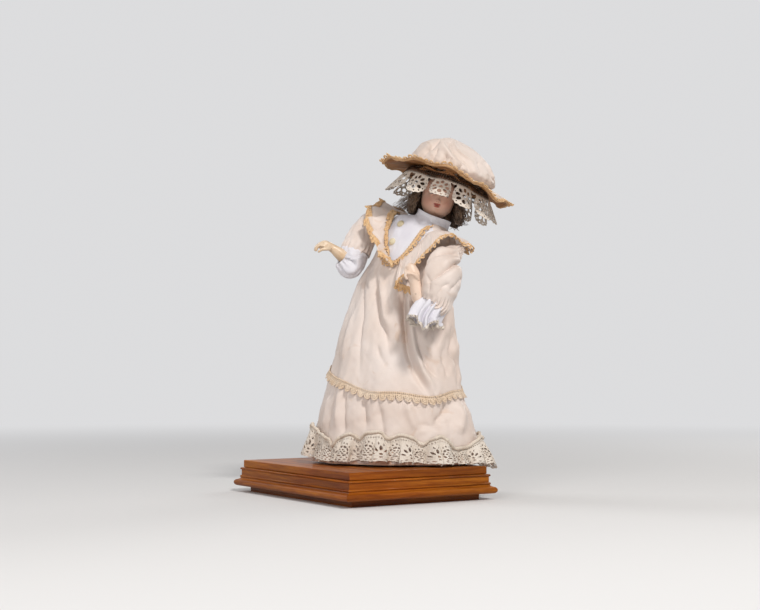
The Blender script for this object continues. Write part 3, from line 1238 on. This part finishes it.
def limb_surface(path, radii, rows, columns, closed_by):
    """Centres, directions, outward directions, radii, angles and distances along a limb.

    Angle 0 faces the viewer, and 90 is to its left hand going down.
    """
    share = np.linspace(0, 1, rows)
    line, radius = (catmull(values, share * (len(values) - 1)) for values in (path, radii))
    way = unit(np.gradient(line, axis=0))
    toward = unit(VIEWER - way * (way @ VIEWER)[:, None])
    around, along = np.meshgrid(np.linspace(-180, 180, columns), travelled(line))
    outward = (cosd(around)[..., None] * toward[:, None, :]
               + sind(around)[..., None] * np.cross(way, toward)[:, None, :])
    for end, rounded in zip((0, -1), closed_by):
        if rounded:
            radius[end] = 0.4
    return line, way, outward, radius, around, along


def worn_cloth(node, path, radii, material, creases, rows=110, columns=161, bulk=1.0, seed=0,
               closed_by=(True, True), gathers=(), lift=0.5, body="root"):
    """A sleeve or cuff.

    Creases are (height, width, width, [(angle, share) ...]), with angles to the viewer's right.
    """
    line, _, outward, radius, around, along = limb_surface(path, radii, rows, columns, closed_by)
    whole, per_degree = along.max(), np.maximum(radius, 4) * math.pi / 180
    angle = np.radians(around)
    out = np.zeros(around.shape)
    for height, left, right, route in creases:
        degrees, shares = np.array(route).T
        wide = np.interp(shares.mean(), np.linspace(0, 1, rows), per_degree)
        turned = repeat(around + degrees.mean(), 360) - degrees.mean()
        out += fold(turned * wide, along, stacked(-degrees * wide, shares * whole), height, left, right)
    spot = stacked(np.cos(angle) * 14, np.sin(angle) * 14, along * 0.9)
    out += bulk * (waver(spot, 26, seed) + 0.45 * waver(spot, 10, seed + 1, 2))
    for count, height, at, reach in gathers:
        gather = np.cos(count * angle + 2.0 * np.sin(3 * angle + seed))
        out += height * bell(along / whole - at, reach) * gather
    steps = np.arange(rows)
    for from_end, rounded in zip((steps, steps[::-1]), closed_by):
        if rounded:
            out *= np.clip(from_end / 6, 0, 1)[:, None]
    points = line[:, None, :] + (radius[:, None] + lift + out)[..., None] * outward
    uvs = stacked(around * per_degree[:, None], along)
    cloth(node + "_cloth", points, material, uvs, body=body, node=node)


def capped_tube(line, radii, sides):
    """Points and faces of a closed, round-ended tube."""
    steps = np.array([0.15, 0.5, 0.8])
    first, last = unit(line[0] - line[1]), unit(line[-1] - line[-2])
    before = [line[0] + first * radii[0] * math.sqrt(1 - step * step) for step in steps]
    after = [line[-1] + last * radii[-1] * math.sqrt(1 - step * step) for step in steps[::-1]]
    line = np.concatenate([before, line, after])
    points = tube_points(line, np.concatenate([radii[0] * steps, radii, radii[-1] * steps[::-1]]), sides)
    faces = [list(face) for face in grid_faces(len(line), sides, closed=True)]
    return points, faces + [list(range(sides))[::-1], list(range(len(points) - sides, len(points)))]


def smooth_line(points, count):
    return catmull(points, np.linspace(0, len(points) - 1, count))


def finger(points, widths, count=12, sides=12):
    return capped_tube(smooth_line(points, count), smooth_line(widths, count), sides)


def fuse(name, parts, material, body, node, voxel=0.55, rounds=6):
    """One smooth skin over several overlapping closed forms."""
    points, faces, base = [], [], 0
    for spots, polygons in parts:
        points.append(spots)
        faces += [[index + base for index in face] for face in polygons]
        base += len(spots)
    made = mesh_object(name, np.concatenate(points), faces, [material])
    remesh = made.modifiers.new("fuse", "REMESH")
    remesh.mode = "VOXEL"
    remesh.voxel_size = voxel * MM
    remesh.use_smooth_shade = True
    smooth = made.modifiers.new("smooth", "SMOOTH")
    smooth.factor = 0.5
    smooth.iterations = rounds
    bpy.context.view_layer.update()
    joined = bpy.data.meshes.new_from_object(made.evaluated_get(bpy.context.evaluated_depsgraph_get()))
    made.modifiers.clear()
    old, made.data = made.data, joined
    bpy.data.meshes.remove(old)
    if not joined.materials:
        joined.materials.append(material)
    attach(made, body)
    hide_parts(node)


HAND_PAINT = composition_paint("painted_hands", rgb(224, 202, 176), rgb(204, 172, 136))
FIST_PAINT = composition_paint("painted_fist", rgb(234, 214, 198), rgb(220, 192, 170))


def build_hands():
    """The right hand reaches out with its palm down, and the left is a loose fist."""
    forearm = [(-60, 13, 318), (-67, 10, 324), (-78, 6.5, 333.5), (-89, 4, 341.5), (-98, 1, 345),
               (-104, 0, 344.5)]
    thumb = [(-92, -3, 340), (-97, -7.5, 339), (-102, -9.5, 338), (-106.5, -9.5, 335)]
    parts = [finger(forearm, [8.6, 8.8, 8.4, 5.9, 6.6, 5.0], 26, 20)]
    for i in range(4):
        root, shorter = np.array((-99, 5.2 - 3.3 * i, 345 - 0.6 * i)), abs(i - 1)
        parts.append(finger([root, root + (-5.5, 0.3, 2.0 - 0.3 * i),
                             root + (-11.0 + 0.7 * shorter, 0.2, -0.6 - 0.3 * i),
                             root + (-13.2 + 0.9 * shorter, 0.0, -6.0)], [2.5, 2.4, 2.15, 1.7]))
    parts.append(finger(thumb, [3.2, 2.7, 2.2, 1.7]))
    fuse("right_hand_skin", parts, HAND_PAINT, "right_arm", "right_hand")

    forearm = [(38, -84, 257), (31, -84.5, 264), (27, -85, 276), (24.5, -86, 288), (22, -86, 298),
               (19, -86, 306)]
    thumb = [(28, -91, 292), (25, -95, 296.5), (20, -96.5, 299), (15.5, -95.5, 299)]
    parts = [finger(forearm, [8.2, 9.0, 8.8, 7.6, 9.2, 8.0], 26, 20)]
    for i in range(4):
        root = np.array((22.0, -82.5 - 2.9 * i, 309.0 - 3.0 * i))
        parts.append(finger([root, root + (-6.0, -0.6, 1.0), root + (-10.2, -1.0, -2.4),
                             root + (-8.6, -1.0, -7.2)], [3.0, 2.7, 2.4, 1.9]))
    parts.append(finger(thumb, [3.0, 2.6, 2.3, 1.9]))
    fuse("left_hand_skin", parts, FIST_PAINT, "left_arm", "left_hand")


def build_sleeves():
    worn_cloth(
        "right_sleeve", [(-8, 30, 382), (-27, 34, 382), (-45, 29, 362), (-56, 21, 340), (-57.5, 20, 336)],
        [8, 16, 20, 20.5, 17], SILK,
        [(-2.0, 3, 5, [(-40, 0.35), (-10, 0.55), (20, 0.8)]),
         (-2.2, 4, 4, [(60, 0.4), (40, 0.62), (55, 0.86)]),
         (-1.8, 3, 4, [(-80, 0.5), (-60, 0.7), (-62, 0.9)]),
         (-2.4, 4, 5, [(120, 0.3), (140, 0.6), (150, 0.9)]),
         (-2.0, 4, 5, [(-130, 0.4), (-150, 0.7), (-160, 0.9)]),
         (1.8, 5, 5, [(0, 0.5), (5, 0.75), (0, 0.92)])],
        bulk=0.9, seed=3, gathers=[(17, 0.9, 1.0, 0.14)], body="right_arm")
    worn_cloth(
        "right_cuff",
        [(-57.8, 20, 338.5), (-59.7, 18.3, 333), (-61.9, 13.6, 320.5), (-66.2, 9.8, 315), (-75.8, 7, 325)],
        [17.3, 20.8, 20.6, 16.6, 9.6], COTTON,
        [(-3.6, 2.5, 4, [(60, 0.2), (30, 0.32), (0, 0.5), (-30, 0.7)]),
         (-3.2, 2.5, 4, [(-20, 0.15), (-45, 0.4), (-60, 0.7)]),
         (-3.0, 2.5, 4, [(90, 0.4), (55, 0.62), (30, 0.85)]),
         (-2.6, 3, 4, [(100, 0.2), (95, 0.5), (80, 0.8)]),
         (2.4, 4, 4, [(60, 0.3), (30, 0.42), (0, 0.6)]),
         (-2.4, 3, 5, [(160, 0.2), (170, 0.55), (150, 0.85)]),
         (-2.2, 3, 5, [(-140, 0.15), (-150, 0.5), (-140, 0.8)]),
         (2.0, 5, 5, [(-20, 0.2), (0, 0.4), (28, 0.62)])],
        rows=120, bulk=1.3, seed=5, closed_by=(True, False),
        gathers=[(15, 1.1, 0.0, 0.12), (13, 1.3, 1.0, 0.16)], lift=0.3, body="right_arm")
    worn_cloth(
        "left_sleeve", [(86, -38, 336), (69, -66, 319), (61.5, -82, 300), (57, -85, 280), (53, -84, 263),
                        (52, -83.8, 261)],
        [7.4, 16.4, 25.2, 25, 20.5, 18.5], SILK,
        [(-8.5, 1.8, 7, [(-48, 0.78), (-20, 0.71), (15, 0.62), (41, 0.52), (80, 0.40), (118, 0.32)]),
         (5.5, 11, 13, [(-68, 0.3), (-62, 0.44), (-58, 0.6)]),
         (3.4, 6, 6, [(-20, 0.63), (12, 0.54), (38, 0.43), (70, 0.32)]),
         (-5.5, 2, 8, [(-72, 0.58), (-25, 0.46), (8, 0.37), (32, 0.34)]),
         (2.8, 6, 7, [(-60, 0.47), (-25, 0.36), (8, 0.28)]),
         (-3.0, 3, 4, [(30, 0.84), (52, 0.74), (86, 0.62)]), (-2.4, 3, 3, [(-4, 0.9), (6, 0.8), (26, 0.74)]),
         (-2.2, 3, 3, [(-34, 0.9), (-38, 0.78), (-60, 0.68)]),
         (-2.4, 3, 5, [(20, 0.2), (44, 0.26), (74, 0.24)]),
         (-3.2, 4, 6, [(110, 0.25), (125, 0.5), (118, 0.8)]),
         (-3.2, 4, 6, [(160, 0.3), (172, 0.6), (165, 0.85)]),
         (-3.2, 4, 6, [(-120, 0.35), (-108, 0.6), (-118, 0.85)])],
        rows=150, columns=201, bulk=0.8, seed=8, gathers=[(21, 1.2, 1.0, 0.07), (15, 0.7, 0.1, 0.08)],
        body="left_arm")


NARROW_PERIOD, NARROW_DEPTH = 4.2, 5.0


def narrow_pattern(s, t):
    """A narrow edging of small rings on a tape."""
    x = repeat(s, NARROW_PERIOD)
    field = np.maximum(1.5 - np.abs(t - 1.4), 2.1 - np.hypot(x, t - 2.5))
    return np.minimum(field, np.hypot(x, t - 2.6) - 0.7)


def build_left_cuff():
    """A gathered lawn frill hanging open from the sleeve, edged with narrow lace."""
    path = [(52.2, -84, 263.0), (49.3, -84.6, 258.2), (42.6, -86.4, 250), (38.0, -88.2, 243),
            (36.2, -89.6, 235.5)]
    radii = [17.2, 18.6, 19.4, 20.0, 20.4]
    line, way, outward, radius, around, along = limb_surface(path, radii, 60, 241, (False, False))
    angle, share = np.radians(around), along / along.max()
    flutes = np.cos(10 * angle + 1.6 * np.sin(3 * angle) + 1.5 * share)
    reach = radius[:, None] + 0.2 + (0.8 + 3.6 * share) * flutes
    reach += 0.6 * np.cos(23 * angle) * (1 - share) ** 2 + 0.7 * share * np.cos(17 * angle + 1)
    reach -= 3.4 * share * np.clip(-np.cos(angle), 0, 1)
    dip = share * (11.0 * bell(around - 2, 20) - 5.0 * bell(around - 58, 24) + 1.8 * np.cos(5 * angle + 0.6))
    points = line[:, None, :] + reach[..., None] * outward + dip[..., None] * way[:, None, :]
    cloth("left_cuff_cloth", points, COTTON, stacked(around * 0.36, along), body="left_arm", node="left_cuff")
    edge_lace("left_cuff_edging", points[-1], points[-1] - points[-6], (0, 0, -1), 1.03, 1.2, body="left_arm",
              pattern=narrow_pattern, period=NARROW_PERIOD, depth=NARROW_DEPTH, material=IVORY_LACE,
              cell=0.55)


# Shoulder frills, bib, buttons and gold edging

SHOULDER_MIDDLE = np.array((22.0, 0.0, 345.0))
RUFFLE_SEAM = [(7, 5.05), (17, 5.35), (27, 5.9), (33, 6.5), (50, 7.0), (88, 7.25), (125, 7.15), (155, 6.7)]
# Side, turn, height over the gown, how deep its waves are and the lowest that they go, then its free edge
RUFFLES = {
    "right_ruffle": (-1, -11, 2.8, 2.2, -4.2, [(-1, -47, 316), (-12, -42, 322), (-23, -30, 340),
                                               (-35, -12, 362), (-38, 8, 386), (-27, 26, 402), (-6, 40, 402),
                                               (16, 46, 386)]),
    "left_ruffle": (1, -6.5, 1.1, 1.3, -2.4, [(-1, -58, 286), (11, -61, 298), (23, -63, 310), (41, -72, 329),
                                              (64, -66, 350), (86, -54, 345), (100, -30, 335), (92, 6, 338),
                                              (70, 30, 354)]),
}
# Each frill's waves: where along it, how wide and how deep
WAVES = {
    "right_ruffle": [(0.05, 0.020, 2.4), (0.12, 0.018, -2.2), (0.18, 0.020, 4.2), (0.25, 0.022, -3.2),
                     (0.32, 0.020, 4.6), (0.39, 0.022, -3.0), (0.46, 0.022, 4.4), (0.54, 0.022, -2.8),
                     (0.61, 0.020, 3.6), (0.68, 0.022, -2.6), (0.76, 0.024, 3.4), (0.84, 0.022, -2.4),
                     (0.92, 0.022, 3.0)],
    "left_ruffle": [(0.05, 0.018, -1.6), (0.11, 0.018, 2.4), (0.18, 0.020, -2.0), (0.25, 0.020, 2.8),
                    (0.33, 0.022, -2.4), (0.41, 0.018, 3.6), (0.48, 0.020, -2.6), (0.56, 0.020, 4.0),
                    (0.64, 0.022, -2.8), (0.72, 0.022, 3.8), (0.80, 0.022, -2.6), (0.89, 0.022, 3.2)],
}


def build_ruffle(name):
    """A shoulder's frill with its gold edging; gives the rows of its points from the seam out."""
    side, turn, seat, deepen, lowest, edge = RUFFLES[name]
    along, share = grid(46, 300, across=(0, 1))
    seam, rim = (catmull(route, along * (len(route) - 1)) for route in (RUFFLE_SEAM, edge))
    foot = gown_points(side * seam[..., 0] + turn, seam[..., 1], seat)
    wander = along + 0.012 * np.sin(share * 5 + along * 40)
    flute = sum(deepen * deep * bell(wander - at, 0.85 * wide) for at, wide, deep in WAVES[name])
    rise = 1.0 + 4.4 * np.sin(math.pi * share ** 0.8)
    rise += np.maximum(flute * np.clip(share * 1.5, 0, 1) ** 1.3, lowest)
    rise += 0.55 * np.sin(along * 52 * TAU + 2 * np.sin(along * 31)) * (1 - share) ** 1.5
    rise += 0.3 * np.sin(along * 31 * TAU + 3 * share) * (1 - 0.5 * share)
    spot = stacked(along * 190, share * 34)
    rise += 0.8 * waver(spot, 22, 61) * share
    points = foot + (rim - foot) * share[..., None] + unit(foot - SHOULDER_MIDDLE) * rise[..., None]
    cloth(name + "_cloth", points, SILK, spot, 0.8, 0, node=name)
    line, outward = points[-1], unit(points[-1] - points[-7])
    if side > 0:
        tail = smooth_line([(20, -61, 276.5), (9, -60, 280), (0.5, -58.5, 283), tuple(line[0])], 20)
        line = np.concatenate([tail[:-1], line])
        outward = np.concatenate([[(-0.3, -0.2, -1.0)] * 14, [(-0.7, -0.2, -0.7)] * 5, outward])
    edge_lace(name + "_edging", line, outward, (0.2, -1, 0.6), 1.12, 6.0, 0.1, 2.2, 27)
    return points


def build_seam_lace(frill):
    """The inner row of lace, sewn over the seam of the right shoulder's frill."""
    line, below = frill[3, 4:196], frill[15, 4:196]
    edge_lace("seam_lace", line + (line - SHOULDER_MIDDLE) * 0.025, below - line, (0.2, -1, 0.6),
              1.1, 5.0, -0.1, 0.8, 19)


PLACKET = -21.0  # degrees
BIB_TOP, BIB_POINT, MM_PER_BIB_LEVEL = 7.75, 4.72, 25


def bib_edges(level):
    """Left and right limits of the bib at a level, in degrees."""
    row = (np.asarray(level, dtype=float) - 4.74) / 2.96
    half = 34 * np.sqrt(np.maximum(0.02, 1 - np.maximum(0, 0.75 - row) ** 2 / 0.57))
    half = half + 30 * np.maximum(0, row - 0.6)
    return -15 - half, -15 + half


def build_bib():
    share, level = np.meshgrid(np.linspace(0, 1, 90), np.linspace(BIB_POINT, BIB_TOP, 70))
    left, right = bib_edges(level)
    right = right + 12 * np.clip((level - 5.5) / 0.6, 0, 1) * np.clip((7.3 - level) / 0.5, 0, 1)
    degrees = left + (right - left) * share
    beside = degrees - PLACKET
    uvs = stacked(degrees, level * MM_PER_BIB_LEVEL)
    out = 2.2 + 0.10 * np.abs(cosd(beside * 30)) ** 6 * np.clip(np.abs(beside) / 5 - 0.6, 0, 1)
    out += 0.3 * waver(uvs, 18, 71) + 0.5 * np.exp(-((beside / 7.5) ** 8))
    cloth("bib_cloth", gown_points(degrees, level, out), COTTON, uvs, node="bib")

    down, up = np.linspace(5.4, 4.77, 30), np.linspace(4.77, 7.1, 60)
    degrees, levels = np.concatenate([bib_edges(down)[0], bib_edges(up)[1]]), np.concatenate([down, up])
    run = travelled(stacked(degrees, levels * MM_PER_BIB_LEVEL))
    even = np.linspace(0, run[-1], 160)
    line = gown_points(np.interp(even, run, degrees), np.interp(even, run, levels), 3.2)
    edge_lace("bib_edging", line, line - gown_points(-17.0, 6.2, 3.2), (-0.1, -1, 0.3),
              1.08, 4.5, -0.12, 0.7, 19)


BUTTONS = {"button_upper": 6.38, "button_lower": 5.45}
BUTTON_PROFILE = [(0.1, 3.6), (1.8, 3.45), (3.5, 2.7), (4.8, 1.4), (5.2, 0.4), (4.9, -0.4)]


def build_buttons():
    for name, level in BUTTONS.items():
        sideways = gown_points(PLACKET + 4, level) - gown_points(PLACKET - 4, level)
        upward = gown_points(PLACKET, level + 0.2) - gown_points(PLACKET, level - 0.2)
        out, sideways = unit(np.cross(sideways, upward)), unit(sideways)
        upward = np.cross(out, sideways)
        reach, height = smooth_line(BUTTON_PROFILE, 22).T[..., None]
        turn = np.linspace(0, 360, 60, endpoint=False)
        reach = reach + 0.12 * cosd(12 * turn) * (reach / 5) ** 3
        spots = reach[..., None] * stacked(cosd(turn), sind(turn))
        points = gown_points(PLACKET, level, 2.6) + spots @ [sideways, upward] + height[..., None] * out
        piece(name + "_cloth", points, grid_faces(22, 60, closed=True), BUTTON_CLOTH, spots, node=name)


build_hands()
build_sleeves()
build_left_cuff()
right_frill = build_ruffle("right_ruffle")
build_ruffle("left_ruffle")
build_bib()
build_buttons()
build_seam_lace(right_frill)
